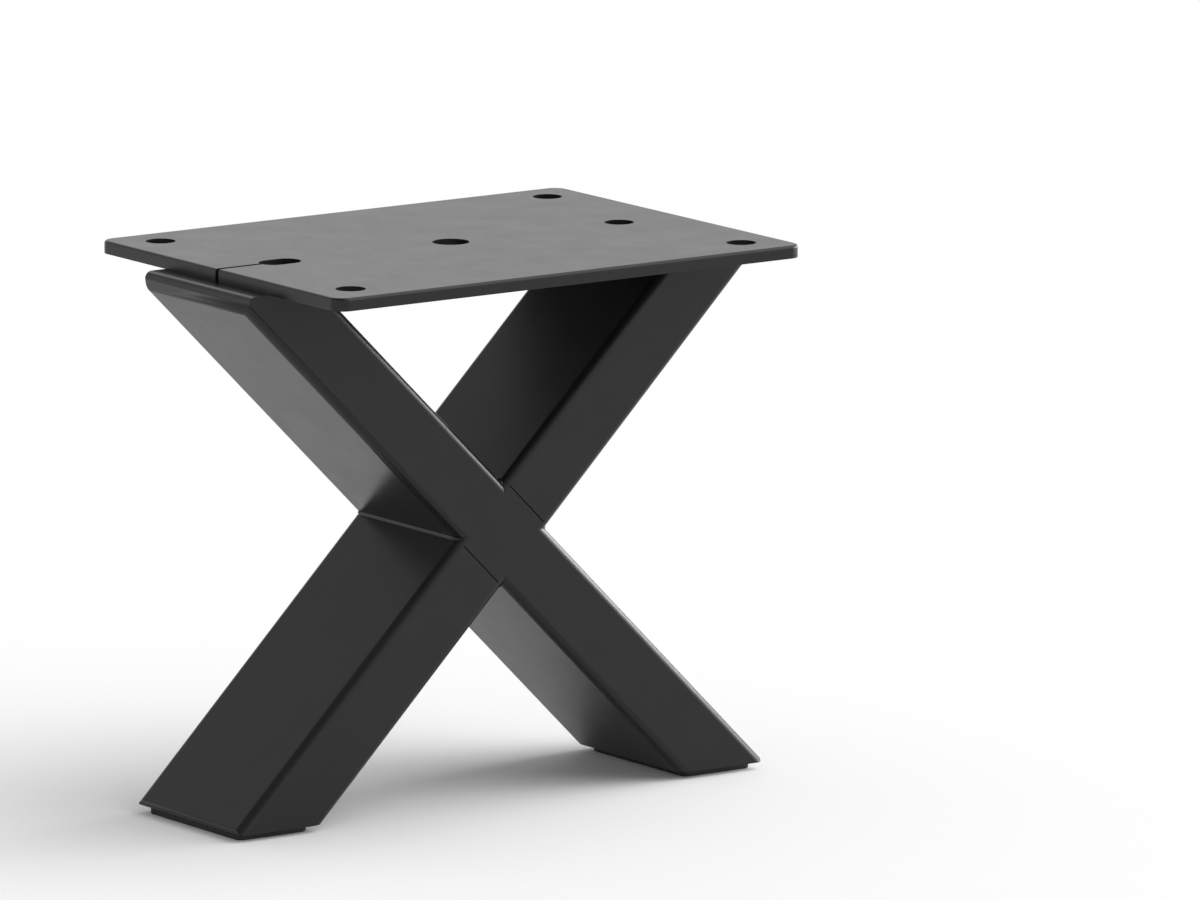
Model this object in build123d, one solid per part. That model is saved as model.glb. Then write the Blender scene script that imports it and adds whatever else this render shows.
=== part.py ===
from build123d import *
import math
import os

# A low black steel furniture leg in the shape of an X, 150 mm tall.
# One rectangular tube runs through from the top left to the bottom right.
# The other diagonal is two shorter tubes, welded square against the first.
# A drilled plate is welded on top, and the closed feet stand on rubber pads.
# X runs along the plate's long side, Y across it, and Z up from the floor.
# The origin is on the floor under the middle of the X.

# Overall: the overhang is how far a tube's tip, before it is rounded, passes the plate's edge
total_height = 150.0
tip_overhang = 11.4

# Top plate
plate_length = 150.0
plate_depth = 115.0
plate_thickness = 3.5
plate_corner_radius = 4.0
plate_edge_radius = 0.8

# Holes in the plate
corner_hole_diameter = 8.0
corner_hole_margin = 12.0
centre_hole_diameter = 10.0
vent_hole_diameter = 8.0
vent_hole_margin = 20.0
vent_slot_length = 12.0
vent_slit_width = 1.5

# Rectangular tube
tube_face = 20.0
tube_depth = 50.0
tube_wall = 1.5
tube_corner_radius = 2.5
nose_height = 5.0
nose_radius = 2.0
nose_crease_radius = 0.8
nose_lip = 6.0
foot_tip_radius = 1.0

# Welds
root_gap = 1.0
corner_bead_leg = 0.8
bead_leg = 3.0
bead_root = 1.0
bead_end_margin = 5.0
bead_vent_margin = 1.0

# Feet
pad_thickness = 2.0
pad_inset = 3.0
pad_corner_radius = 2.0
foot_plate_thickness = 2.0
foot_plate_gap = 0.1

# Levels and widths that follow from the sizes above
plate_underside = total_height - plate_thickness
centre_height = (pad_thickness + plate_underside) / 2
frame_width = plate_length + 2 * tip_overhang
reach = total_height + frame_width
frame_depth = tube_depth + 2 * bead_leg

# The slope at which a tube's cut ends just span the frame's width
rise = plate_underside - pad_thickness
slope = math.atan2(rise, frame_width) + math.asin(tube_face / math.hypot(frame_width, rise))
sine = math.sin(slope)
cosine = math.cos(slope)
half_cut = tube_face / 2 / sine
half_mouth = (tube_face / 2 - tube_wall) / sine
nose_x = -frame_width / 2 + nose_height * cosine / sine


def axis_x(z):
    """Where the through tube's centre line is at a height."""
    return (centre_height - z) * cosine / sine


def through_prism(face, depth, radius):
    """A long rounded bar along the through tube's centre line."""
    section = Plane(
        origin=(0, 0, centre_height), x_dir=(0, 1, 0), z_dir=(cosine, 0, -sine)
    ) * RectangleRounded(depth, face, radius)
    return extrude(section, amount=reach, both=True)


def side_profile(outline):
    """A solid as deep as the frame from a closed outline in X and Z."""
    return extrude(Plane.XZ * outline, amount=frame_depth / 2, both=True)


def tube_envelope():
    """The through tube as a full bar, cut level, with a blunt nose for its upper tip."""
    outline = Polygon(
        (nose_x, plate_underside),
        (axis_x(plate_underside) + half_cut, plate_underside),
        (axis_x(pad_thickness) + half_cut, pad_thickness),
        (axis_x(pad_thickness) - half_cut, pad_thickness),
        (nose_x, plate_underside - nose_height),
        align=None,
    )
    bend = outline.vertices().group_by(Axis.X)[0].sort_by(Axis.Y)[-1]
    outline = fillet(bend, nose_radius)
    crease = outline.vertices().group_by(Axis.X)[0].sort_by(Axis.Y)[0]
    outline = fillet(crease, nose_crease_radius)
    outline = fillet(outline.vertices().sort_by(Axis.X)[-1], foot_tip_radius)
    return through_prism(tube_face, tube_depth, tube_corner_radius) & side_profile(outline)


def tube_hollow():
    """The room inside the through tube, open at the foot and under the plate.

    The lower wall is folded upright at the nose and then over into a short
    lip that lies against the plate, so the room ends there too.
    """
    lip_level = plate_underside - tube_wall
    lip_end = nose_x + nose_radius + nose_lip
    inside = nose_x + tube_wall
    crease_level = centre_height - (inside + half_mouth) * sine / cosine
    above = plate_underside + tube_wall
    below = pad_thickness - tube_wall
    outline = Polygon(
        (inside, crease_level),
        (inside, lip_level),
        (lip_end, lip_level),
        (lip_end, above),
        (axis_x(above) + half_cut, above),
        (axis_x(below) + half_cut, below),
        (axis_x(below) - half_mouth, below),
        align=None,
    )
    bend = outline.vertices().group_by(Axis.X)[0].sort_by(Axis.Y)[-1]
    outline = fillet(bend, nose_radius - tube_wall)
    bore = through_prism(
        tube_face - 2 * tube_wall, tube_depth - 2 * tube_wall, tube_corner_radius - tube_wall
    )
    return bore & side_profile(outline)


def crossing_slab(thickness):
    """A slab along the through tube, thicker than it by what is given on each side."""
    slab = Box(2 * reach, 2 * frame_depth, tube_face + 2 * thickness)
    return Location((0, 0, centre_height), (0, math.degrees(slope), 0)) * slab


def through_tube():
    return tube_envelope() - tube_hollow()


def half_tubes():
    """The two short tubes of the other diagonal, the lower one first."""
    full = mirror(through_tube(), about=Plane.YZ)
    return (full - crossing_slab(root_gap)).solids().sort_by(Axis.Z)


def corner_beads():
    """The small beads in the crossing's four inner corners, round to its front and back."""
    wide = through_prism(tube_face + 2 * corner_bead_leg, tube_depth, tube_corner_radius)
    cover = Pos(0, 0, centre_height) * Box(
        2 * (half_cut + corner_bead_leg * cosine),
        tube_depth,
        2 * (tube_face / 2 / cosine + corner_bead_leg * sine),
    )
    tube = through_prism(tube_face, tube_depth, tube_corner_radius)
    corners = wide & mirror(wide, about=Plane.YZ) & cover
    return corners - tube - mirror(tube, about=Plane.YZ)


def crossing_welds():
    """The welds that join the short tubes to the through tube, the lower one first.

    Each is a ring in the root gap, ground flush in front and behind, with a
    bead left standing in each of its two inner corners.
    """
    tube = through_prism(tube_face, tube_depth, tube_corner_radius)
    bore = through_prism(
        tube_face - 2 * tube_wall, tube_depth - 2 * tube_wall, tube_corner_radius - tube_wall
    )
    rings = mirror(tube - bore, about=Plane.YZ) & crossing_slab(root_gap)
    welds = rings - tube + corner_beads()
    return welds.solids().sort_by(Axis.Z)


def bead_outline(depth):
    """The bead's outer outline at a depth under the plate, its inner corners rounded."""
    level = plate_underside - depth
    out = bead_leg - depth
    start = bead_end_margin - plate_length / 2
    end = axis_x(level) + half_cut + out
    outline = Rectangle(end - start, tube_depth + 2 * out)
    outline = fillet(outline.vertices().group_by(Axis.X)[-1], tube_corner_radius + out)
    return Pos((start + end) / 2, 0, level) * outline


def plate_weld():
    """The fillet bead round the left tube end, on its front, inner and back sides.

    Its slope runs on to a root inside the tube, which the tube then cuts away.
    It stops short of the vent slot, which would otherwise open onto the bead.
    """
    root, top = bead_outline(bead_leg + bead_root), bead_outline(0)
    bead = loft([root.face(), top.face()], ruled=True)
    bead -= through_prism(tube_face, tube_depth, tube_corner_radius)
    vent = Pos(vent_hole_margin - plate_length / 2, 0, plate_underside) * Cylinder(
        vent_slot_length / 2 + bead_vent_margin, 4 * bead_leg
    )
    return bead - vent


def top_plate():
    """The mounting plate with its seven holes and the slit at the left edge."""
    blank = extrude(
        RectangleRounded(plate_length, plate_depth, plate_corner_radius), plate_thickness
    )
    blank = fillet(blank.faces().sort_by(Axis.Z)[-1].edges(), plate_edge_radius)
    spacing_x = plate_length - 2 * corner_hole_margin
    spacing_y = plate_depth - 2 * corner_hole_margin
    vent_x = plate_length / 2 - vent_hole_margin
    holes = GridLocations(spacing_x, spacing_y, 2, 2) * Circle(corner_hole_diameter / 2)
    cuts = Sketch() + holes
    cuts += Circle(centre_hole_diameter / 2)
    cuts += Pos(vent_x, 0) * Circle(vent_hole_diameter / 2)
    cuts += Pos(-vent_x, 0) * SlotOverall(vent_slot_length, vent_hole_diameter)
    slit_length = vent_hole_margin + plate_thickness
    slit_middle = -plate_length / 2 - plate_thickness + slit_length / 2
    cuts += Pos(slit_middle, 0) * Rectangle(slit_length, vent_slit_width)
    drilled = blank - extrude(cuts, plate_thickness)
    return Pos(0, 0, plate_underside) * drilled


def foot_plate():
    """The plate welded into the mouth of the right foot, level with its rim."""
    bore = through_prism(
        tube_face - 2 * (tube_wall + foot_plate_gap),
        tube_depth - 2 * (tube_wall + foot_plate_gap),
        tube_corner_radius - tube_wall,
    )
    slab = Pos(axis_x(pad_thickness), 0, pad_thickness) * Box(
        4 * half_cut, tube_depth, foot_plate_thickness, align=(Align.CENTER, Align.CENTER, Align.MIN)
    )
    return bore & slab


def glide_pad():
    """The rubber pad stuck under the right foot."""
    pad = extrude(
        RectangleRounded(
            2 * (half_cut - pad_inset), tube_depth - 2 * pad_inset, pad_corner_radius
        ),
        pad_thickness,
    )
    return Pos(axis_x(pad_thickness), 0, 0) * pad


def build_parts():
    lower_leg, upper_arm = half_tubes()
    lower_ring, upper_ring = crossing_welds()
    left_bead = plate_weld()
    right_foot_plate = foot_plate()
    right_pad = glide_pad()
    return {
        "top_plate": top_plate(),
        "through_tube": through_tube(),
        "upper_arm_tube": upper_arm,
        "lower_leg_tube": lower_leg,
        "crossing_weld_upper": upper_ring,
        "crossing_weld_lower": lower_ring,
        "plate_weld_left": left_bead,
        "plate_weld_right": mirror(left_bead, about=Plane.YZ),
        "foot_plate_right": right_foot_plate,
        "foot_plate_left": mirror(right_foot_plate, about=Plane.YZ),
        "glide_pad_right": right_pad,
        "glide_pad_left": mirror(right_pad, about=Plane.YZ),
    }


os.makedirs("parts", exist_ok=True)
for name, shape in build_parts().items():
    export_step(shape, f"parts/{name}.step")
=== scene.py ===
import math

import bmesh
import bpy
from mathutils import Matrix, Vector, noise


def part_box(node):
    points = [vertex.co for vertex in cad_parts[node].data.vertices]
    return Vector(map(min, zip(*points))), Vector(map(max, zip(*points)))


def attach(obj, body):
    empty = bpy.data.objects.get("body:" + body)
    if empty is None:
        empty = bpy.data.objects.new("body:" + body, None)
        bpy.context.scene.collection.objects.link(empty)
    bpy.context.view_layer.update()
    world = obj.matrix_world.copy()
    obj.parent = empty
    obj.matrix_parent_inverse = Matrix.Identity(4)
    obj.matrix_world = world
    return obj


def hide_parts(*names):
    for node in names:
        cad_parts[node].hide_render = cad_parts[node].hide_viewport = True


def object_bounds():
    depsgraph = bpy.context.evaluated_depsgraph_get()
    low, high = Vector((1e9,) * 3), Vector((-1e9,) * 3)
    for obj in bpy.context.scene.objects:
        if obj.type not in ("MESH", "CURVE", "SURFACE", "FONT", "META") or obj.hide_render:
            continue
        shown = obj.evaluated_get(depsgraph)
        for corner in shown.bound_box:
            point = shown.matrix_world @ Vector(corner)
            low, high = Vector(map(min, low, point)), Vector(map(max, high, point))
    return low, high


bl_info = {
    "name": "X Leg Dresser",
    "version": (1, 0, 0),
    "blender": (4, 5, 0),
    "location": "3D View > Sidebar > X Leg",
    "description": "Dresses a welded X-shaped furniture leg and sets its stage",
    "category": "Object",
}

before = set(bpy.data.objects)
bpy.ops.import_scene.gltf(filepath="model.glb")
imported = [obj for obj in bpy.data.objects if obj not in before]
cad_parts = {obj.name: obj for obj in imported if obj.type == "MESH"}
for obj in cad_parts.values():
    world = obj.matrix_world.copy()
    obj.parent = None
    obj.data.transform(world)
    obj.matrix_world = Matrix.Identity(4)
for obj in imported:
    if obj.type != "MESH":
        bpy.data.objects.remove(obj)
CAD_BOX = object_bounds()
PLATE_LOW, PLATE_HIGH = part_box("top_plate")
TUBE_LOW, TUBE_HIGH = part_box("through_tube")
CROSSING_HEIGHT = (TUBE_LOW.z + TUBE_HIGH.z) / 2
CROSSING_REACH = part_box("crossing_weld_upper")[1].x
DIAGONAL = math.sqrt(0.5)
BEAD_LOW, BEAD_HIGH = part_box("plate_weld_left")
TUBES = ("through_tube", "upper_arm_tube", "lower_leg_tube")
GEOMETRY_TOLERANCE = 1e-6

# Angles between two faces: nearly flat, a sawn edge, a hole's rim, and shaded as sharp
FLAT_ANGLE = math.radians(0.5)
SAWN_ANGLE = math.radians(30)
RIM_ANGLE = math.radians(69)
SHARP_ANGLE = math.radians(50)

# How finely round shapes are divided
CORNER_SEGMENTS = 8
HOLE_SEGMENTS = 48
SECTION_POINTS = 7
STATIONS_PER_RIPPLE = 6

# A bead's convex face as a share of its leg, how many ripples its size wanders over,
# and how thin it is at its very end
BEAD_BULGE = 0.13
WANDER_RIPPLES = 4
BEAD_END_SIZE = 0.08

# Between which shares of its colour a surface varies, and by how much the coat's gloss does
COAT_TINTS = (0.85, 1.15)
RUBBER_TINTS = (1.0, 1.8)
GLOSS_SPREAD = 0.05
COAT_MOTTLE_SCALE = 95.0
RUBBER_BLOOM_SCALE = 160.0
RUBBER_ROUGHNESS = (0.68, 0.84)
RUBBER_SPECULAR = 0.35
CUT_LINE_STRETCH = (1.0, 1.0, 0.06)

# The floor's disc, and the width of the camera's sensor in millimetres
FLOOR_RADIUS = 12.0
FLOOR_SEGMENTS = 96
SENSOR_WIDTH = 36.0


# Sizes and colours


class CoatSettings(bpy.types.PropertyGroup):
    """The black powder coating on all the steel."""

    colour: bpy.props.FloatVectorProperty(
        name="Coat colour",
        description="Colour of the powder coating",
        subtype="COLOR",
        size=3,
        min=0.0,
        max=1.0,
        default=(0.0085, 0.0085, 0.009),
    )
    roughness: bpy.props.FloatProperty(
        name="Roughness",
        description="How matt the coating is",
        subtype="FACTOR",
        min=0.0,
        max=1.0,
        default=0.30,
    )
    specular: bpy.props.FloatProperty(
        name="Reflection",
        description="How strongly the coating reflects",
        subtype="FACTOR",
        min=0.0,
        max=1.0,
        default=0.295,
    )
    peel_size: bpy.props.FloatProperty(
        name="Orange peel size",
        description="Width of one dimple of the coating",
        unit="LENGTH",
        min=0.0001,
        default=0.0011,
    )
    peel_depth: bpy.props.FloatProperty(
        name="Orange peel depth",
        description="Height of the coating's dimples",
        unit="LENGTH",
        default=0.000010,
    )
    wave_size: bpy.props.FloatProperty(
        name="Wave size",
        description="Length of the slow waves that rolled tube and plate have",
        unit="LENGTH",
        min=0.001,
        default=0.028,
    )
    wave_depth: bpy.props.FloatProperty(
        name="Wave depth",
        description="Height of the slow waves",
        unit="LENGTH",
        default=0.00006,
    )
    softness: bpy.props.FloatProperty(
        name="Edge softness",
        description="Radius to which the coating rounds a cut edge",
        unit="LENGTH",
        min=0.00005,
        default=0.0003,
    )


class PlateSettings(bpy.types.PropertyGroup):
    """The drilled mounting plate."""

    corner_radius: bpy.props.FloatProperty(
        name="Corner radius",
        description="Rounding of the plate's four corners, seen from above",
        unit="LENGTH",
        default=0.004,
    )
    edge_radius: bpy.props.FloatProperty(
        name="Edge radius",
        description="Rounding of the plate's upper outer edge",
        unit="LENGTH",
        default=0.0008,
    )
    corner_hole: bpy.props.FloatProperty(
        name="Corner holes",
        description="Diameter of the four corner holes",
        unit="LENGTH",
        default=0.008,
    )
    corner_margin: bpy.props.FloatProperty(
        name="Corner margin",
        description="From a corner hole's centre to the plate's edges",
        unit="LENGTH",
        default=0.012,
    )
    centre_hole: bpy.props.FloatProperty(
        name="Centre hole",
        description="Diameter of the hole in the middle",
        unit="LENGTH",
        default=0.010,
    )
    vent_hole: bpy.props.FloatProperty(
        name="Vent hole",
        description="Diameter of the coating vents at the middle of the short sides",
        unit="LENGTH",
        default=0.008,
    )
    vent_margin: bpy.props.FloatProperty(
        name="Vent margin",
        description="From a vent's centre to the plate's short side",
        unit="LENGTH",
        default=0.020,
    )
    slot_length: bpy.props.FloatProperty(
        name="Slot length",
        description="Overall length of the left vent, which is a slot",
        unit="LENGTH",
        default=0.012,
    )
    slit_width: bpy.props.FloatProperty(
        name="Slit width",
        description="Width of the slit from the slot to the plate's edge",
        unit="LENGTH",
        default=0.0015,
    )
    rim_radius: bpy.props.FloatProperty(
        name="Rim radius",
        description="Rounding of the rims of the holes and of the lower edge",
        unit="LENGTH",
        default=0.0005,
    )
    line_spacing: bpy.props.FloatProperty(
        name="Cut line spacing",
        description="Distance between the drag lines that the laser leaves on a cut edge",
        unit="LENGTH",
        default=0.00045,
    )
    line_depth: bpy.props.FloatProperty(
        name="Cut line depth",
        description="Depth of those drag lines under the coating",
        unit="LENGTH",
        default=0.00002,
    )


class WeldSettings(bpy.types.PropertyGroup):
    """The beads under the plate, and the ground welds and small beads of the crossing."""

    tube_corner: bpy.props.FloatProperty(
        name="Tube corner radius",
        description="Rounding of the tube's long edges, round which a bead turns",
        unit="LENGTH",
        default=0.0025,
    )
    tube_face: bpy.props.FloatProperty(
        name="Tube face",
        description="The tube's narrow width",
        unit="LENGTH",
        default=0.020,
    )
    tube_wall: bpy.props.FloatProperty(
        name="Tube wall",
        description="Thickness of the tube's wall",
        unit="LENGTH",
        default=0.0015,
    )
    root_gap: bpy.props.FloatProperty(
        name="Root gap",
        description="Gap between the tubes at the crossing, which the ground welds fill",
        unit="LENGTH",
        default=0.001,
    )
    seam_width: bpy.props.FloatProperty(
        name="Seam width",
        description="Width of the fine line left along a ground weld",
        unit="LENGTH",
        default=0.0003,
    )
    seam_depth: bpy.props.FloatProperty(
        name="Seam depth",
        description="Depth of that line",
        unit="LENGTH",
        default=0.0005,
    )
    seam_root: bpy.props.FloatProperty(
        name="Seam root",
        description="How far a ground weld reaches into the through tube's surface",
        unit="LENGTH",
        default=0.0001,
    )
    leg: bpy.props.FloatProperty(
        name="Plate bead leg",
        description="Leg length of the beads under the plate",
        unit="LENGTH",
        default=0.003,
    )
    vent_margin: bpy.props.FloatProperty(
        name="Vent margin",
        description="How far the beads under the plate stop before the vents",
        unit="LENGTH",
        default=0.001,
    )
    pitch: bpy.props.FloatProperty(
        name="Ripple pitch",
        description="Distance from one ripple of a bead to the next",
        unit="LENGTH",
        default=0.0015,
    )
    swell: bpy.props.FloatProperty(
        name="Ripple height",
        description="How much each ripple swells the bead",
        subtype="FACTOR",
        min=0.0,
        max=0.5,
        default=0.10,
    )
    bow: bpy.props.FloatProperty(
        name="Ripple bow",
        description="How far a ripple bows forward in the middle of the bead",
        unit="LENGTH",
        default=0.0006,
    )
    fade: bpy.props.FloatProperty(
        name="Fade length",
        description="Length over which a bead thins out at each end",
        unit="LENGTH",
        default=0.004,
    )
    crossing_leg: bpy.props.FloatProperty(
        name="Crossing bead leg",
        description="Leg length of the small beads in the corners of the crossing",
        unit="LENGTH",
        default=0.0008,
    )
    crossing_swell: bpy.props.FloatProperty(
        name="Crossing ripple height",
        description="How much each ripple swells a bead of the crossing",
        subtype="FACTOR",
        min=0.0,
        max=0.5,
        default=0.04,
    )
    crossing_wrap: bpy.props.FloatProperty(
        name="Crossing bead wrap",
        description="How far a bead of the crossing turns in over the tubes' rounded edges",
        subtype="ANGLE",
        default=math.radians(42),
    )
    crossing_fade: bpy.props.FloatProperty(
        name="Crossing fade length",
        description="Length over which a bead of the crossing thins out at each end",
        unit="LENGTH",
        default=0.0026,
    )


class PadSettings(bpy.types.PropertyGroup):
    """The rubber pads under the feet."""

    colour: bpy.props.FloatVectorProperty(
        name="Rubber colour",
        description="Colour of the pads",
        subtype="COLOR",
        size=3,
        min=0.0,
        max=1.0,
        default=(0.016, 0.016, 0.016),
    )
    corner_radius: bpy.props.FloatProperty(
        name="Pad corner radius",
        description="Rounding of a pad's corners, seen from below",
        unit="LENGTH",
        default=0.002,
    )
    edge_radius: bpy.props.FloatProperty(
        name="Pad edge radius",
        description="Rounding of a pad's lower edge",
        unit="LENGTH",
        default=0.0005,
    )
    grain_size: bpy.props.FloatProperty(
        name="Grain size",
        description="Width of one grain of the mould",
        unit="LENGTH",
        min=0.0001,
        default=0.0004,
    )
    grain_depth: bpy.props.FloatProperty(
        name="Grain depth",
        description="Height of the mould's grain",
        unit="LENGTH",
        default=0.00003,
    )


class StageSettings(bpy.types.PropertyGroup):
    """The camera, the lamps, the floor and the sky."""

    azimuth: bpy.props.FloatProperty(
        name="Camera azimuth",
        description="Where the camera stands, turned from the front towards the right",
        subtype="ANGLE",
        default=math.radians(-34.94),
    )
    elevation: bpy.props.FloatProperty(
        name="Camera elevation",
        description="Angle of the camera above the horizon",
        subtype="ANGLE",
        default=math.radians(10.5),
    )
    distance: bpy.props.FloatProperty(
        name="Camera distance",
        description="From the camera to the point that it looks at",
        unit="LENGTH",
        default=3.904,
    )
    lens: bpy.props.FloatProperty(
        name="Focal length",
        description="Focal length of the camera, in millimetres",
        subtype="DISTANCE_CAMERA",
        default=436.1,
    )
    aim_right: bpy.props.FloatProperty(
        name="Aim to the right",
        description="How far right of the leg's middle the camera looks",
        unit="LENGTH",
        default=0.03993,
    )
    aim_up: bpy.props.FloatProperty(
        name="Aim upwards",
        description="How far above the leg's middle the camera looks",
        unit="LENGTH",
        default=0.01801,
    )
    floor_colour: bpy.props.FloatVectorProperty(
        name="Floor colour",
        description="Colour of the pale floor",
        subtype="COLOR",
        size=3,
        min=0.0,
        max=1.0,
        default=(0.93, 0.93, 0.93),
    )
    fade_from: bpy.props.FloatProperty(
        name="Floor fades from",
        description="Distance from the leg's middle at which the floor begins to fade to white",
        unit="LENGTH",
        default=0.04,
    )
    fade_to: bpy.props.FloatProperty(
        name="Floor fades to",
        description="Distance from the leg's middle at which the floor looks quite white",
        unit="LENGTH",
        default=0.36,
    )
    horizon: bpy.props.FloatProperty(
        name="Horizon light",
        description="Strength of the sky's light on the floor from near the horizon",
        min=0.0,
        default=0.75,
    )
    zenith: bpy.props.FloatProperty(
        name="Overhead light",
        description="Strength of the sky above the studio's white backdrop",
        min=0.0,
        default=0.35,
    )
    band_low: bpy.props.FloatProperty(
        name="Backdrop fades from",
        description="Height in the sky, as a sine, at which the backdrop begins to fade",
        default=0.25,
    )
    band_high: bpy.props.FloatProperty(
        name="Backdrop fades to",
        description="Height in the sky, as a sine, at which the backdrop has faded",
        default=0.62,
    )
    key_strength: bpy.props.FloatProperty(
        name="Key strength",
        description="Strength of the large soft light above and to the right",
        min=0.0,
        default=2.5,
    )
    key_spread: bpy.props.FloatProperty(
        name="Key spread",
        description="How wide the main light looks from the leg",
        subtype="ANGLE",
        default=math.radians(78),
    )
    key_from: bpy.props.FloatVectorProperty(
        name="Key direction",
        description="Where the main light comes from",
        subtype="DIRECTION",
        size=3,
        default=(0.68, -0.36, 0.64),
    )
    rim_power: bpy.props.FloatProperty(
        name="Rim lamp power",
        description="Power of the lamp behind, which lights the plate's rounded rim",
        unit="POWER",
        min=0.0,
        default=3.0,
    )
    rim_size: bpy.props.FloatVectorProperty(
        name="Rim lamp size",
        description="Width and height of the lamp behind",
        unit="LENGTH",
        size=2,
        default=(1.7, 0.4),
    )
    rim_place: bpy.props.FloatVectorProperty(
        name="Rim lamp place",
        description="Where the lamp behind hangs",
        subtype="TRANSLATION",
        size=3,
        default=(0.84, 1.63, 1.3),
    )
    strip_power: bpy.props.FloatProperty(
        name="Strip power",
        description="Power of the low lamp at the right, which draws the tubes' rounded edges",
        unit="POWER",
        min=0.0,
        default=12.0,
    )
    strip_size: bpy.props.FloatVectorProperty(
        name="Strip size",
        description="Width and height of the low lamp",
        unit="LENGTH",
        size=2,
        default=(1.2, 0.35),
    )
    strip_place: bpy.props.FloatVectorProperty(
        name="Strip place",
        description="Where the low lamp stands",
        subtype="TRANSLATION",
        size=3,
        default=(1.45, -0.1, 0.26),
    )


class LegSettings(bpy.types.PropertyGroup):
    """All the settings of the leg and its stage."""

    coat: bpy.props.PointerProperty(type=CoatSettings)
    plate: bpy.props.PointerProperty(type=PlateSettings)
    weld: bpy.props.PointerProperty(type=WeldSettings)
    pad: bpy.props.PointerProperty(type=PadSettings)
    stage: bpy.props.PointerProperty(type=StageSettings)


# Materials


def add_node(tree, kind, inputs=None, **settings):
    """Adds a node, sets it up, and feeds its inputs from sockets or plain values."""
    made = tree.nodes.new(kind)
    for key, value in settings.items():
        setattr(made, key, value)
    for key, value in (inputs or {}).items():
        if isinstance(value, bpy.types.NodeSocket):
            tree.links.new(value, made.inputs[key])
        else:
            made.inputs[key].default_value = value
    return made


def maths(tree, operation, first, second):
    """The result of a Math node on two sockets or values."""
    return add_node(tree, "ShaderNodeMath", {0: first, 1: second}, operation=operation).outputs[0]


def new_group(name, inputs, outputs):
    """A shader node group with named sockets, and its input and output nodes."""
    tree = bpy.data.node_groups.new(name, "ShaderNodeTree")
    for label, kind in inputs.items():
        tree.interface.new_socket(label, in_out="INPUT", socket_type=kind)
    for label, kind in outputs.items():
        tree.interface.new_socket(label, in_out="OUTPUT", socket_type=kind)
    return tree, tree.nodes.new("NodeGroupInput"), tree.nodes.new("NodeGroupOutput")


def noise_height(tree, position, size, depth, detail):
    """Noise of a given grain size, as a height in metres."""
    scale = maths(tree, "DIVIDE", 1.0, size)
    grain = add_node(
        tree, "ShaderNodeTexNoise", {"Vector": position, "Scale": scale, "Detail": detail}
    )
    return maths(tree, "MULTIPLY", grain.outputs["Fac"], depth)


def coat_relief_group():
    """Orange peel on slow waves, with a mottle for colour and gloss."""
    name = "coat_relief"
    if name in bpy.data.node_groups:
        return bpy.data.node_groups[name]
    tree, given, result = new_group(
        name,
        {
            "Position": "NodeSocketVector",
            "Peel Size": "NodeSocketFloat",
            "Peel Depth": "NodeSocketFloat",
            "Wave Size": "NodeSocketFloat",
            "Wave Depth": "NodeSocketFloat",
        },
        {"Height": "NodeSocketFloat", "Mottle": "NodeSocketFloat"},
    )
    place = given.outputs["Position"]
    peel, wave = (
        noise_height(
            tree, place, given.outputs[f"{kind} Size"], given.outputs[f"{kind} Depth"], detail
        )
        for kind, detail in (("Peel", 1.5), ("Wave", 0.0))
    )
    tree.links.new(maths(tree, "ADD", peel, wave), result.inputs["Height"])
    cloud = add_node(
        tree,
        "ShaderNodeTexNoise",
        {"Vector": place, "Scale": COAT_MOTTLE_SCALE, "Detail": 5.0, "Roughness": 0.6},
    )
    tree.links.new(cloud.outputs["Fac"], result.inputs["Mottle"])
    return tree


def cut_lines_group():
    """Fine upright drag lines, as a laser leaves them on a cut edge."""
    name = "cut_lines"
    if name in bpy.data.node_groups:
        return bpy.data.node_groups[name]
    tree, given, result = new_group(
        name,
        {
            "Position": "NodeSocketVector",
            "Spacing": "NodeSocketFloat",
            "Depth": "NodeSocketFloat",
        },
        {"Height": "NodeSocketFloat"},
    )
    flat = add_node(
        tree,
        "ShaderNodeVectorMath",
        {0: given.outputs["Position"], 1: CUT_LINE_STRETCH},
        operation="MULTIPLY",
    ).outputs[0]
    lines = noise_height(tree, flat, given.outputs["Spacing"], given.outputs["Depth"], 2.0)
    tree.links.new(lines, result.inputs["Height"])
    return tree


def mapped(tree, value, low, high):
    """A value from 0 to 1 mapped to a range."""
    return add_node(
        tree, "ShaderNodeMapRange", {"Value": value, "To Min": low, "To Max": high}
    ).outputs["Result"]


def tinted(tree, factor, colour, shares):
    """A colour that varies between two shares of itself."""
    low, high = ([channel * share for channel in colour] + [1.0] for share in shares)
    mix = add_node(
        tree, "ShaderNodeMix", {"Factor": factor, 6: low, 7: high}, data_type="RGBA"
    )
    return mix.outputs[2]


def faded(tree, value, start, end, low=0.0, high=1.0):
    """A smooth change from one value to another as the input goes from start to end."""
    return add_node(
        tree,
        "ShaderNodeMapRange",
        {"Value": value, "From Min": start, "From Max": end, "To Min": low, "To Max": high},
        interpolation_type="SMOOTHSTEP",
    ).outputs["Result"]


def add_bump(tree, shader, height):
    """Gives a shader a relief from heights in metres."""
    bump = add_node(tree, "ShaderNodeBump", {"Height": height, "Distance": 1.0, "Strength": 1.0})
    tree.links.new(bump.outputs["Normal"], shader.inputs["Normal"])


def backdrop_share(tree, cover):
    """How much of the white backdrop a ray sees.

    The camera sees it everywhere, mirrored rays and rays through glass see it
    where it covers the surroundings, and all other light sees nothing of it.
    """
    rays = add_node(tree, "ShaderNodeLightPath").outputs
    mirrored = maths(tree, "MAXIMUM", rays["Is Glossy Ray"], rays["Is Transmission Ray"])
    covered = maths(tree, "MULTIPLY", mirrored, cover)
    return maths(tree, "MAXIMUM", rays["Is Camera Ray"], covered)


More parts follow.
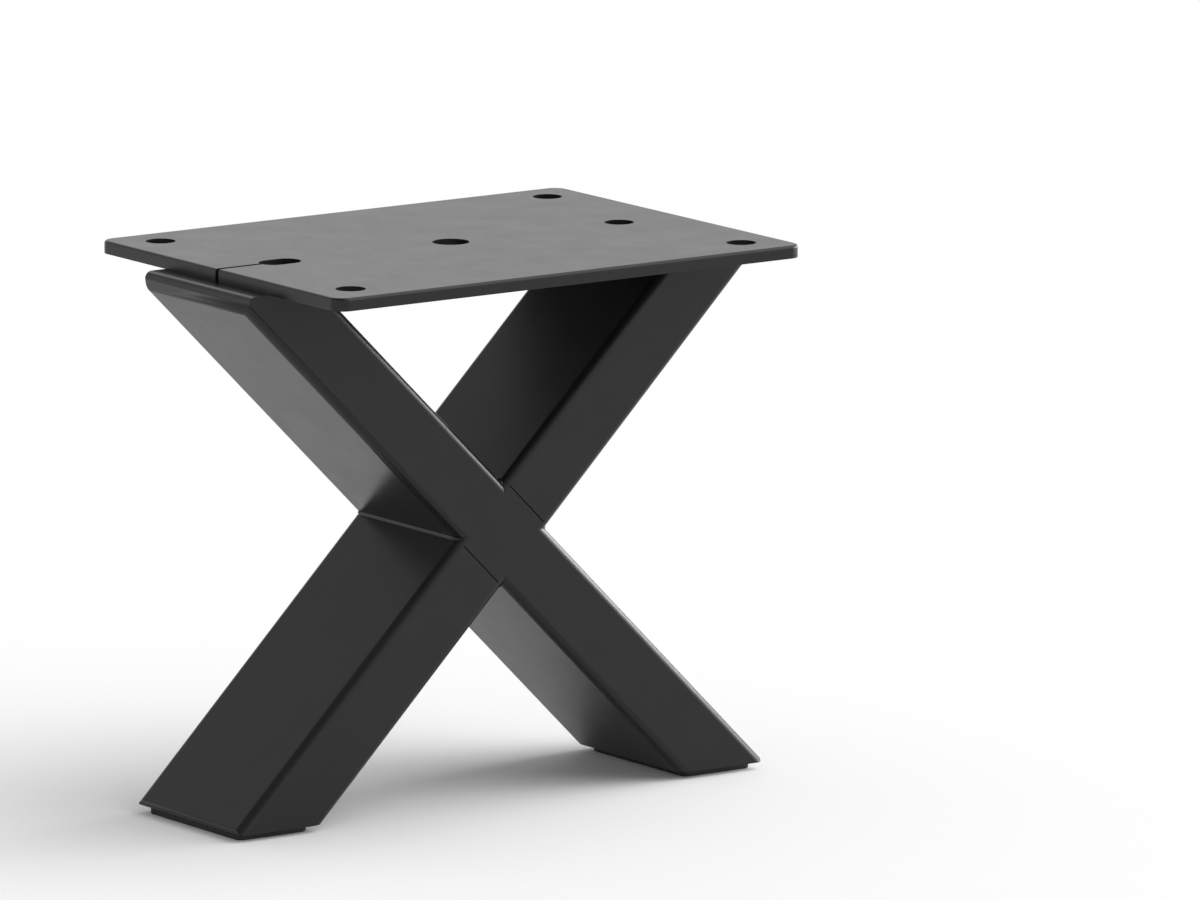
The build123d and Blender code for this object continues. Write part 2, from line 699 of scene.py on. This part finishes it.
def new_material(name):
    """A material with only its Principled BSDF and its output."""
    material = bpy.data.materials.new(name)
    material.use_nodes = True
    material.node_tree.nodes.clear()
    shader = material.node_tree.nodes.new("ShaderNodeBsdfPrincipled")
    out = material.node_tree.nodes.new("ShaderNodeOutputMaterial")
    material.node_tree.links.new(shader.outputs["BSDF"], out.inputs["Surface"])
    return material, material.node_tree, shader


def coated_steel(settings, cut_edge=False):
    """Black powder-coated steel; a cut edge shows the laser's lines under the coat."""
    name = "coated_cut_edge" if cut_edge else "coated_steel"
    if name in bpy.data.materials:
        return bpy.data.materials[name]
    coat = settings.coat
    material, tree, shader = new_material(name)
    place = add_node(tree, "ShaderNodeTexCoord").outputs["Object"]
    relief = add_node(
        tree,
        "ShaderNodeGroup",
        {
            "Position": place,
            "Peel Size": coat.peel_size,
            "Peel Depth": coat.peel_depth,
            "Wave Size": coat.wave_size,
            "Wave Depth": coat.wave_depth,
        },
        node_tree=coat_relief_group(),
    )
    height = relief.outputs["Height"]
    if cut_edge:
        plate = settings.plate
        lines = add_node(
            tree,
            "ShaderNodeGroup",
            {"Position": place, "Spacing": plate.line_spacing, "Depth": plate.line_depth},
            node_tree=cut_lines_group(),
        )
        height = maths(tree, "ADD", height, lines.outputs["Height"])
    add_bump(tree, shader, height)
    mottle = relief.outputs["Mottle"]
    tree.links.new(tinted(tree, mottle, coat.colour, COAT_TINTS), shader.inputs["Base Color"])
    gloss = mapped(tree, mottle, coat.roughness - GLOSS_SPREAD, coat.roughness + GLOSS_SPREAD)
    tree.links.new(gloss, shader.inputs["Roughness"])
    shader.inputs["Specular IOR Level"].default_value = coat.specular
    return material


def moulded_rubber(settings):
    """Matt black rubber with the fine grain of its mould."""
    name = "moulded_rubber"
    if name in bpy.data.materials:
        return bpy.data.materials[name]
    pad = settings.pad
    material, tree, shader = new_material(name)
    place = add_node(tree, "ShaderNodeTexCoord").outputs["Object"]
    add_bump(tree, shader, noise_height(tree, place, pad.grain_size, pad.grain_depth, 3.0))
    bloom = add_node(
        tree,
        "ShaderNodeTexNoise",
        {"Vector": place, "Scale": RUBBER_BLOOM_SCALE, "Detail": 4.0},
    ).outputs["Fac"]
    tree.links.new(tinted(tree, bloom, pad.colour, RUBBER_TINTS), shader.inputs["Base Color"])
    tree.links.new(mapped(tree, bloom, *RUBBER_ROUGHNESS), shader.inputs["Roughness"])
    shader.inputs["Specular IOR Level"].default_value = RUBBER_SPECULAR
    return material


def give_material(name, material):
    """Puts a material on a CAD node that stays."""
    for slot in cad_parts[name].material_slots:
        slot.material = material


# Meshes


def make_piece(name, bm, materials, nodes):
    """Turns a bmesh into a piece that stands for CAD nodes, shaded smooth between sharp edges."""
    mesh = bpy.data.meshes.new(name)
    bm.to_mesh(mesh)
    bm.free()
    mesh.shade_smooth()
    mesh.set_sharp_from_angle(angle=SHARP_ANGLE)
    for material in materials:
        mesh.materials.append(material)
    piece = bpy.data.objects.new(name, mesh)
    bpy.context.scene.collection.objects.link(piece)
    even = piece.modifiers.new("Even shading", "WEIGHTED_NORMAL")
    even.keep_sharp = True
    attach(piece, "root")
    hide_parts(*nodes)
    return piece


def soften(bm, edges, radius, segments=2):
    """Rounds edges with an even bevel."""
    return bmesh.ops.bevel(
        bm,
        geom=edges,
        offset=radius,
        offset_type="OFFSET",
        affect="EDGES",
        segments=segments,
        profile=0.5,
        material=-1,
        clamp_overlap=True,
    )


def edges_over(bm, angle):
    """The edges at which two faces meet at more than an angle."""
    return [e for e in bm.edges if e.is_manifold and e.calc_face_angle() > angle]


def crossing_offset(point):
    """How far a point lies from the through tube's middle plane."""
    return abs(point.x + point.z - CROSSING_HEIGHT) * DIAGONAL


def merged_node(name):
    """A CAD node's mesh with its loose triangles joined into plain faces."""
    bm = bmesh.new()
    bm.from_mesh(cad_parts[name].data)
    bmesh.ops.remove_doubles(bm, verts=bm.verts, dist=GEOMETRY_TOLERANCE)
    bmesh.ops.dissolve_limit(bm, angle_limit=FLAT_ANGLE, verts=bm.verts, edges=bm.edges)
    return bm


def rounded_outline(bm, width, depth, radius):
    """A flat rectangle with rounded corners round the origin, as one face."""
    made = bmesh.ops.create_grid(
        bm, x_segments=1, y_segments=1, size=0.5, matrix=Matrix.Diagonal((width, depth, 1, 1))
    )
    bmesh.ops.bevel(
        bm,
        geom=made["verts"],
        offset=radius,
        offset_type="OFFSET",
        affect="VERTICES",
        segments=CORNER_SEGMENTS,
        profile=0.5,
        material=-1,
    )


def hole_outline(bm, x, y, diameter, length=None):
    """The edges of a round hole, or of a slot along X where a length is given."""
    turn = Matrix.Rotation(math.pi / HOLE_SEGMENTS, 4, "Z")
    ring = bmesh.ops.create_circle(
        bm,
        cap_ends=False,
        segments=HOLE_SEGMENTS,
        radius=diameter / 2,
        matrix=Matrix.Translation((x, y, 0)) @ turn,
    )["verts"]
    if length:
        half = (length - diameter) / 2
        for side in (-1, 1):
            end = [v for v in ring if (v.co.x - x) * side > 0]
            bmesh.ops.translate(bm, vec=(side * half, 0, 0), verts=end)


def thicken(bm, thickness):
    """Extrudes flat faces upwards into a closed slab."""
    moved = bmesh.ops.extrude_face_region(bm, geom=bm.faces[:])["geom"]
    lifted = [g for g in moved if isinstance(g, bmesh.types.BMVert)]
    bmesh.ops.translate(bm, vec=(0, 0, thickness), verts=lifted)
    bmesh.ops.recalc_face_normals(bm, faces=bm.faces)


def sweep(bm, section, stations):
    """Extrudes a closed section from station to station, each a matrix that places it."""
    corners = [bm.verts.new(stations[0] @ Vector(point)) for point in section]
    face = bm.faces.new(corners)
    for before, after in zip(stations, stations[1:]):
        cap = [face, *face.edges, *face.verts]
        moved = bmesh.ops.extrude_face_region(bm, geom=cap)["geom"]
        face = next(g for g in moved if isinstance(g, bmesh.types.BMFace))
        bmesh.ops.transform(bm, matrix=after @ before.inverted(), verts=face.verts)


def frame_matrix(place, outward, along, down):
    """The matrix that lays a section's three directions at a place."""
    return Matrix.Translation(place) @ Matrix((outward, along, down)).transposed().to_4x4()


def bead_section(leg, bow):
    """A fillet's section: its root, and a convex face that bows forward in the middle."""
    section = [(0.0, 0.0, 0.0)]
    for i in range(SECTION_POINTS):
        share = i / (SECTION_POINTS - 1)
        arch = math.sin(math.pi * share)
        bulge = BEAD_BULGE * leg * arch
        section.append((leg * (1 - share) + bulge, bow * arch, leg * share + bulge))
    return section


def ripple(distance, length, weld, swell, fade, seed):
    """A bead's size at a distance along it, with its ripples and thinned-out ends."""
    crest = 0.5 + 0.5 * math.cos(2 * math.pi * distance / weld.pitch)
    wander = noise.noise((distance / (WANDER_RIPPLES * weld.pitch), seed, 0.0))
    body = 1.0 - swell * (1.0 - crest) + 0.5 * swell * wander
    rest = min(1.0, distance / fade, (length - distance) / fade)
    full = math.sin(max(0.0, rest) * math.pi / 2)
    return body * (BEAD_END_SIZE + (1 - BEAD_END_SIZE) * full)


# Operators


class XLEG_OT_tubes(bpy.types.Operator):
    """Coat the three tubes, rounding every sawn edge as the coating does"""

    bl_idname = "xleg.tubes"
    bl_label = "Coated Tubes"

    def execute(self, context):
        settings = context.scene.x_leg
        steel = coated_steel(settings)
        reach = settings.weld.tube_face / 2 + settings.weld.root_gap + GEOMETRY_TOLERANCE
        for node in TUBES:
            bm = merged_node(node)
            open_edges = [
                e
                for e in edges_over(bm, SAWN_ANGLE)
                if any(crossing_offset(v.co) > reach for v in e.verts)
            ]
            soften(bm, open_edges, settings.coat.softness)
            make_piece(f"coated_{node}", bm, [steel], [node])
        return {"FINISHED"}


class XLEG_OT_top_plate(bpy.types.Operator):
    """Cut the mounting plate with its holes, slot and slit, and coat it"""

    bl_idname = "xleg.top_plate"
    bl_label = "Drilled Plate"

    def execute(self, context):
        settings = context.scene.x_leg
        plate = settings.plate
        width, depth, thickness = PLATE_HIGH - PLATE_LOW
        bm = bmesh.new()
        rounded_outline(bm, width, depth, plate.corner_radius)
        bmesh.ops.delete(bm, geom=bm.faces[:], context="FACES_ONLY")
        corner_x = width / 2 - plate.corner_margin
        corner_y = depth / 2 - plate.corner_margin
        vent_x = width / 2 - plate.vent_margin
        for x in (-corner_x, corner_x):
            for y in (-corner_y, corner_y):
                hole_outline(bm, x, y, plate.corner_hole)
        hole_outline(bm, 0, 0, plate.centre_hole)
        hole_outline(bm, vent_x, 0, plate.vent_hole)
        hole_outline(bm, -vent_x, 0, plate.vent_hole, plate.slot_length)
        bmesh.ops.triangle_fill(bm, use_beauty=True, use_dissolve=False, edges=bm.edges[:])
        self.cut_slit(bm, -vent_x, plate.slit_width)
        bmesh.ops.dissolve_limit(bm, angle_limit=FLAT_ANGLE, verts=bm.verts, edges=bm.edges)
        thicken(bm, thickness)
        bmesh.ops.translate(bm, vec=(0, 0, PLATE_LOW.z), verts=bm.verts)
        for face in bm.faces:
            if abs(face.normal.z) < 0.5:
                face.material_index = 1
        margin = Vector((plate.corner_radius, plate.corner_radius, GEOMETRY_TOLERANCE))
        border = PLATE_HIGH - margin

        def on_upper_border(vert):
            place = vert.co
            return place.z > border.z and (abs(place.x) > border.x or abs(place.y) > border.y)

        rims = edges_over(bm, RIM_ANGLE)
        outer = [e for e in rims if all(map(on_upper_border, e.verts))]
        inner = [e for e in rims if e not in outer]
        soften(bm, outer, plate.edge_radius, segments=4)
        soften(bm, [e for e in inner if e.is_valid], plate.rim_radius)
        make_piece(
            "drilled_plate",
            bm,
            [coated_steel(settings), coated_steel(settings, cut_edge=True)],
            ["top_plate"],
        )
        return {"FINISHED"}

    @staticmethod
    def cut_slit(bm, slot_x, width):
        """Opens the flat plate from the slot to its left edge."""
        for side in (-1, 1):
            near = [f for f in bm.faces if min(v.co.x for v in f.verts) < slot_x]
            edges = {e for f in near for e in f.edges}
            verts = {v for f in near for v in f.verts}
            bmesh.ops.bisect_plane(
                bm,
                geom=[*near, *edges, *verts],
                dist=GEOMETRY_TOLERANCE,
                plane_co=(0, side * width / 2, 0),
                plane_no=(0, 1, 0),
            )
        middle = [
            f
            for f in bm.faces
            if abs(f.calc_center_median().y) < width / 2 and f.calc_center_median().x < slot_x
        ]
        bmesh.ops.delete(bm, geom=middle, context="FACES")


class XLEG_OT_plate_welds(bpy.types.Operator):
    """Lay the rippled fillet beads between the tube ends and the plate"""

    bl_idname = "xleg.plate_welds"
    bl_label = "Plate Welds"

    def execute(self, context):
        settings = context.scene.x_leg
        for side, name in ((-1, "plate_weld_left"), (1, "plate_weld_right")):
            bm = bmesh.new()
            for half in (-1, 1):
                self.lay_bead(bm, settings, side, half)
            bmesh.ops.recalc_face_normals(bm, faces=bm.faces)
            make_piece(f"bead_{name}", bm, [coated_steel(settings)], [name])
        return {"FINISHED"}

    @staticmethod
    def lay_bead(bm, settings, side, half):
        """One bead: along the tube's front or back, round its corner, to the vent."""
        weld = settings.weld
        start, inner = BEAD_LOW.x, BEAD_HIGH.x - weld.leg
        corner = Vector((weld.tube_corner * math.sqrt(2), weld.tube_corner))
        turn = Vector((inner - corner.x, TUBE_HIGH.y - corner.y))
        arc = math.pi / 2 * (corner.x + corner.y) / 2
        first = turn.x - start
        last = turn.y - settings.plate.slot_length / 2 - weld.vent_margin
        total = first + arc + last
        count = round(total / weld.pitch * STATIONS_PER_RIPPLE)
        flip = Matrix.Diagonal((-side, -half, 1, 1))
        stations = []
        for i in range(count + 1):
            distance = total * i / count
            share = min(1.0, max(0.0, (distance - first) / arc))
            angle = share * math.pi / 2
            x = turn.x + corner.x * math.sin(angle) + min(0.0, distance - first)
            y = turn.y + corner.y * math.cos(angle) - max(0.0, distance - first - arc)
            outward = Vector((math.sin(angle) * corner.y, math.cos(angle) * corner.x, 0))
            outward.normalize()
            along = Vector((outward.y, -outward.x, 0))
            down = Vector((outward.x * outward.x, outward.x * outward.y, -1))
            size = ripple(distance, total, weld, weld.swell, weld.fade, side * 3.0 + half)
            place = frame_matrix(
                (x, y, BEAD_HIGH.z), outward * size, along * size, down * size
            )
            stations.append(flip @ place)
        sweep(bm, bead_section(weld.leg, weld.bow), stations)


class XLEG_OT_crossing_welds(bpy.types.Operator):
    """Weld the crossing: ground flush in front and behind, with small beads in the corners"""

    bl_idname = "xleg.crossing_welds"
    bl_label = "Crossing Welds"

    def execute(self, context):
        settings = context.scene.x_leg
        steel = coated_steel(settings)
        for name, eighths, quarters in (
            ("crossing_weld_upper", 1, (0, -1)),
            ("crossing_weld_lower", 5, (1, 2)),
        ):
            bm = self.ground_ring(settings.weld, eighths)
            for turn in quarters:
                self.lay_corner_bead(bm, settings.weld, turn)
            make_piece(f"bead_{name}", bm, [steel], [name])
        return {"FINISHED"}

    @staticmethod
    def ground_ring(weld, eighths):
        """The weld that fills a root gap all round, with the fine line left by grinding.

        It is made lying flat, and then turned to its short tube by eighths of a turn.
        """
        bm = bmesh.new()
        rounded_outline(bm, weld.tube_face, 2 * TUBE_HIGH.y, weld.tube_corner)
        bmesh.ops.inset_region(
            bm,
            faces=bm.faces[:],
            use_boundary=True,
            use_even_offset=True,
            thickness=weld.tube_wall,
        )
        middle = max(bm.faces, key=lambda face: face.calc_area())
        bmesh.ops.delete(bm, geom=[middle], context="FACES")
        thicken(bm, weld.root_gap)
        base = weld.tube_face / 2
        straight = TUBE_HIGH.y - weld.tube_corner
        for v in bm.verts:
            if v.co.z > weld.root_gap / 2:
                v.co.z = base + weld.root_gap
            else:
                over = max(0.0, abs(v.co.y) - straight) / weld.tube_corner
                fall = weld.tube_corner * (1 - math.sqrt(max(0.0, 1 - over * over)))
                v.co.z = base - fall - weld.seam_root * (1 - over)
        seam = base + weld.root_gap / 2
        for level in (seam - weld.seam_width / 2, seam, seam + weld.seam_width / 2):
            bmesh.ops.bisect_plane(
                bm,
                geom=[*bm.faces, *bm.edges, *bm.verts],
                dist=GEOMETRY_TOLERANCE,
                plane_co=(0, 0, level),
                plane_no=(0, 0, 1),
            )
        for v in bm.verts:
            outside = abs(v.co.y) > TUBE_HIGH.y - GEOMETRY_TOLERANCE
            if outside and abs(v.co.z - seam) < GEOMETRY_TOLERANCE:
                v.co.y -= math.copysign(weld.seam_depth, v.co.y)
        turn = Matrix.Rotation(eighths * math.pi / 4, 4, "Y")
        place = Matrix.Translation((0, 0, CROSSING_HEIGHT)) @ turn
        bmesh.ops.transform(bm, matrix=place, verts=bm.verts)
        return bm

    @staticmethod
    def lay_corner_bead(bm, weld, turn):
        """A bead in one of the four inner corners, which are a quarter turn apart.

        It thins out as it turns in over the tubes' rounded edges.
        """
        corner = CROSSING_REACH - weld.crossing_leg * DIAGONAL
        straight = TUBE_HIGH.y - weld.tube_corner
        half = straight + weld.tube_corner * weld.crossing_wrap
        count = round(2 * half / weld.pitch * STATIONS_PER_RIPPLE)
        centre = Matrix.Translation((0, 0, CROSSING_HEIGHT))
        spin = Matrix.Rotation(turn * math.pi / 2, 4, "Y")
        stations = []
        for i in range(count + 1):
            run = half * (2 * i / count - 1)
            side = math.copysign(1.0, run)
            angle = max(0.0, abs(run) - straight) / weld.tube_corner
            drop = weld.tube_corner * (1 - math.cos(angle))
            y = side * (min(abs(run), straight) + weld.tube_corner * math.sin(angle))
            lean = DIAGONAL * math.cos(angle)
            upper = Vector((lean, side * math.sin(angle), lean))
            lower = Vector((lean, side * math.sin(angle), -lean))
            along = upper.cross(lower).normalized()
            size = ripple(
                run + half, 2 * half, weld, weld.crossing_swell, weld.crossing_fade, 10.0 + turn
            )
            place = frame_matrix(
                Vector((corner - drop / DIAGONAL, y, 0)),
                along.cross(upper) * size,
                along * size,
                lower.cross(along) * size,
            )
            stations.append(centre @ spin @ place)
        piece = bmesh.new()
        sweep(piece, bead_section(weld.crossing_leg, 0.0), stations)
        bmesh.ops.recalc_face_normals(piece, faces=piece.faces)
        mesh = bpy.data.meshes.new("corner_bead")
        piece.to_mesh(mesh)
        piece.free()
        bm.from_mesh(mesh)
        bpy.data.meshes.remove(mesh)


class XLEG_OT_feet(bpy.types.Operator):
    """Coat the plates that close the feet, and mould the rubber pads under them"""

    bl_idname = "xleg.feet"
    bl_label = "Feet"

    def execute(self, context):
        settings = context.scene.x_leg
        rubber = moulded_rubber(settings)
        for side in ("left", "right"):
            give_material(f"foot_plate_{side}", coated_steel(settings))
            node = f"glide_pad_{side}"
            low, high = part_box(node)
            size = high - low
            bm = bmesh.new()
            rounded_outline(bm, size.x, size.y, settings.pad.corner_radius)
            thicken(bm, size.z)
            bottom = [e for e in bm.edges if all(v.co.z < GEOMETRY_TOLERANCE for v in e.verts)]
            soften(bm, bottom, settings.pad.edge_radius, segments=3)
            bmesh.ops.translate(bm, vec=((low.x + high.x) / 2, 0, low.z), verts=bm.verts)
            make_piece(f"moulded_{node}", bm, [rubber], [node])
        return {"FINISHED"}


class XLEG_OT_stage(bpy.types.Operator):
    """Set up the camera, the soft lamps, the pale floor and the sky"""

    bl_idname = "xleg.stage"
    bl_label = "Stage"

    def execute(self, context):
        stage = context.scene.x_leg.stage
        self.add_camera(context.scene, stage)
        self.add_floor(context.scene, stage)
        self.add_sky(context.scene, stage)
        self.add_key(context.scene, stage)
        for name in ("rim", "strip"):
            self.add_lamp(context.scene, stage, name)
        context.scene.view_settings.view_transform = "Standard"
        return {"FINISHED"}

    @staticmethod
    def add_camera(scene, stage):
        """A long lens from the front left, a little above the plate."""
        turn, rise = stage.azimuth, stage.elevation
        back = Vector(
            (
                math.sin(turn) * math.cos(rise),
                -math.cos(turn) * math.cos(rise),
                math.sin(rise),
            )
        )
        right = Vector((math.cos(turn), math.sin(turn), 0))
        up = back.cross(right)
        middle = Vector((0, 0, (CAD_BOX[0].z + CAD_BOX[1].z) / 2))
        aim = middle + right * stage.aim_right + up * stage.aim_up
        camera = bpy.data.objects.new("camera", bpy.data.cameras.new("camera"))
        camera.data.lens = stage.lens
        camera.data.sensor_width = SENSOR_WIDTH
        camera.location = aim + back * stage.distance
        camera.rotation_mode = "QUATERNION"
        camera.rotation_quaternion = (-back).to_track_quat("-Z", "Y")
        scene.collection.objects.link(camera)
        scene.camera = camera

    @staticmethod
    def add_floor(scene, stage):
        """A wide pale disc that can be seen through from below; for camera and mirrored rays it
        fades to white far out, a painted glow that begins near the leg and thins its cast shadow.
        """
        bm = bmesh.new()
        bmesh.ops.create_circle(
            bm, cap_ends=True, segments=FLOOR_SEGMENTS, radius=FLOOR_RADIUS
        )
        bmesh.ops.recalc_face_normals(bm, faces=bm.faces)
        if next(iter(bm.faces)).normal.z < 0:
            bmesh.ops.reverse_faces(bm, faces=bm.faces)
        mesh = bpy.data.meshes.new("floor")
        bm.to_mesh(mesh)
        bm.free()
        material = bpy.data.materials.new("pale_floor")
        material.use_nodes = True
        tree = material.node_tree
        tree.nodes.clear()
        paint = add_node(tree, "ShaderNodeBsdfDiffuse", {"Color": [*stage.floor_colour, 1.0]})
        place = add_node(tree, "ShaderNodeTexCoord").outputs["Object"]
        distance = add_node(
            tree, "ShaderNodeVectorMath", {0: place}, operation="LENGTH"
        ).outputs["Value"]
        # Painted light: a white glow for camera and mirrored rays that grows from fade_from to
        # fade_to and washes out the leg's cast shadow
        far = faded(tree, distance, stage.fade_from, stage.fade_to)
        white = add_node(tree, "ShaderNodeEmission", {"Strength": 1.0})
        share = maths(tree, "MULTIPLY", far, backdrop_share(tree, 1.0))
        above = add_node(
            tree, "ShaderNodeMixShader", {0: share, 1: paint.outputs[0], 2: white.outputs[0]}
        )
        below = add_node(tree, "ShaderNodeNewGeometry").outputs["Backfacing"]
        clear = add_node(tree, "ShaderNodeBsdfTransparent")
        both = add_node(
            tree, "ShaderNodeMixShader", {0: below, 1: above.outputs[0], 2: clear.outputs[0]}
        )
        add_node(tree, "ShaderNodeOutputMaterial", {"Surface": both.outputs[0]})
        mesh.materials.append(material)
        floor = bpy.data.objects.new("floor", mesh)
        scene.collection.objects.link(floor)

    @staticmethod
    def add_sky(scene, stage):
        """A white sky to look at, whose light on the floor comes mostly from near the horizon."""
        world = bpy.data.worlds.new("studio")
        scene.world = world
        world.use_nodes = True
        tree = world.node_tree
        tree.nodes.clear()
        place = add_node(tree, "ShaderNodeTexCoord").outputs["Generated"]
        rise = add_node(tree, "ShaderNodeSeparateXYZ", {0: place}).outputs["Z"]
        band = faded(tree, rise, stage.band_low, stage.band_high, low=1.0, high=0.0)
        glow = mapped(tree, band, stage.zenith, stage.horizon)
        strength = add_node(
            tree,
            "ShaderNodeMix",
            {"Factor": backdrop_share(tree, band), 2: glow, 3: 1.0},
            data_type="FLOAT",
        ).outputs[0]
        light = add_node(tree, "ShaderNodeBackground", {"Strength": strength})
        light.inputs["Color"].default_value = (1.0, 1.0, 1.0, 1.0)
        add_node(tree, "ShaderNodeOutputWorld", {"Surface": light.outputs[0]})

    @staticmethod
    def link_lamp(scene, data, back):
        """Links a lamp that shines from a direction and isn't seen itself."""
        lamp = bpy.data.objects.new(data.name, data)
        lamp.rotation_mode = "QUATERNION"
        lamp.rotation_quaternion = back.to_track_quat("Z", "Y")
        lamp.visible_camera = False
        scene.collection.objects.link(lamp)
        return lamp

    def add_key(self, scene, stage):
        """The main light, wide and even, from above and a little to the right."""
        data = bpy.data.lights.new("key", "SUN")
        data.energy = stage.key_strength
        data.angle = stage.key_spread
        self.link_lamp(scene, data, Vector(stage.key_from))

    def add_lamp(self, scene, stage, name):
        """A wide lamp that faces the leg."""
        data = bpy.data.lights.new(name, "AREA")
        data.shape = "RECTANGLE"
        data.size, data.size_y = getattr(stage, f"{name}_size")
        data.energy = getattr(stage, f"{name}_power")
        place = Vector(getattr(stage, f"{name}_place"))
        self.link_lamp(scene, data, place).location = place


class XLEG_PT_sidebar(bpy.types.Panel):
    """The leg's tools and settings"""

    bl_idname = "XLEG_PT_sidebar"
    bl_label = "X Leg"
    bl_space_type = "VIEW_3D"
    bl_region_type = "UI"
    bl_category = "X Leg"

    def draw(self, context):
        settings = context.scene.x_leg
        for operator in OPERATORS:
            self.layout.operator(operator.bl_idname)
        for name in LegSettings.__annotations__:
            group = getattr(settings, name)
            box = self.layout.box()
            box.label(text=name.capitalize())
            for item in group.__annotations__:
                box.prop(group, item)


OPERATORS = (
    XLEG_OT_stage,
    XLEG_OT_tubes,
    XLEG_OT_top_plate,
    XLEG_OT_plate_welds,
    XLEG_OT_crossing_welds,
    XLEG_OT_feet,
)
CLASSES = (
    CoatSettings,
    PlateSettings,
    WeldSettings,
    PadSettings,
    StageSettings,
    LegSettings,
    *OPERATORS,
    XLEG_PT_sidebar,
)


def register():
    for item in CLASSES:
        bpy.utils.register_class(item)
    bpy.types.Scene.x_leg = bpy.props.PointerProperty(type=LegSettings)


def unregister():
    del bpy.types.Scene.x_leg
    for item in reversed(CLASSES):
        bpy.utils.unregister_class(item)


def main():
    register()
    bpy.ops.xleg.stage()
    bpy.ops.xleg.tubes()
    bpy.ops.xleg.top_plate()
    bpy.ops.xleg.plate_welds()
    bpy.ops.xleg.crossing_welds()
    bpy.ops.xleg.feet()


if __name__ == "__main__":
    main()
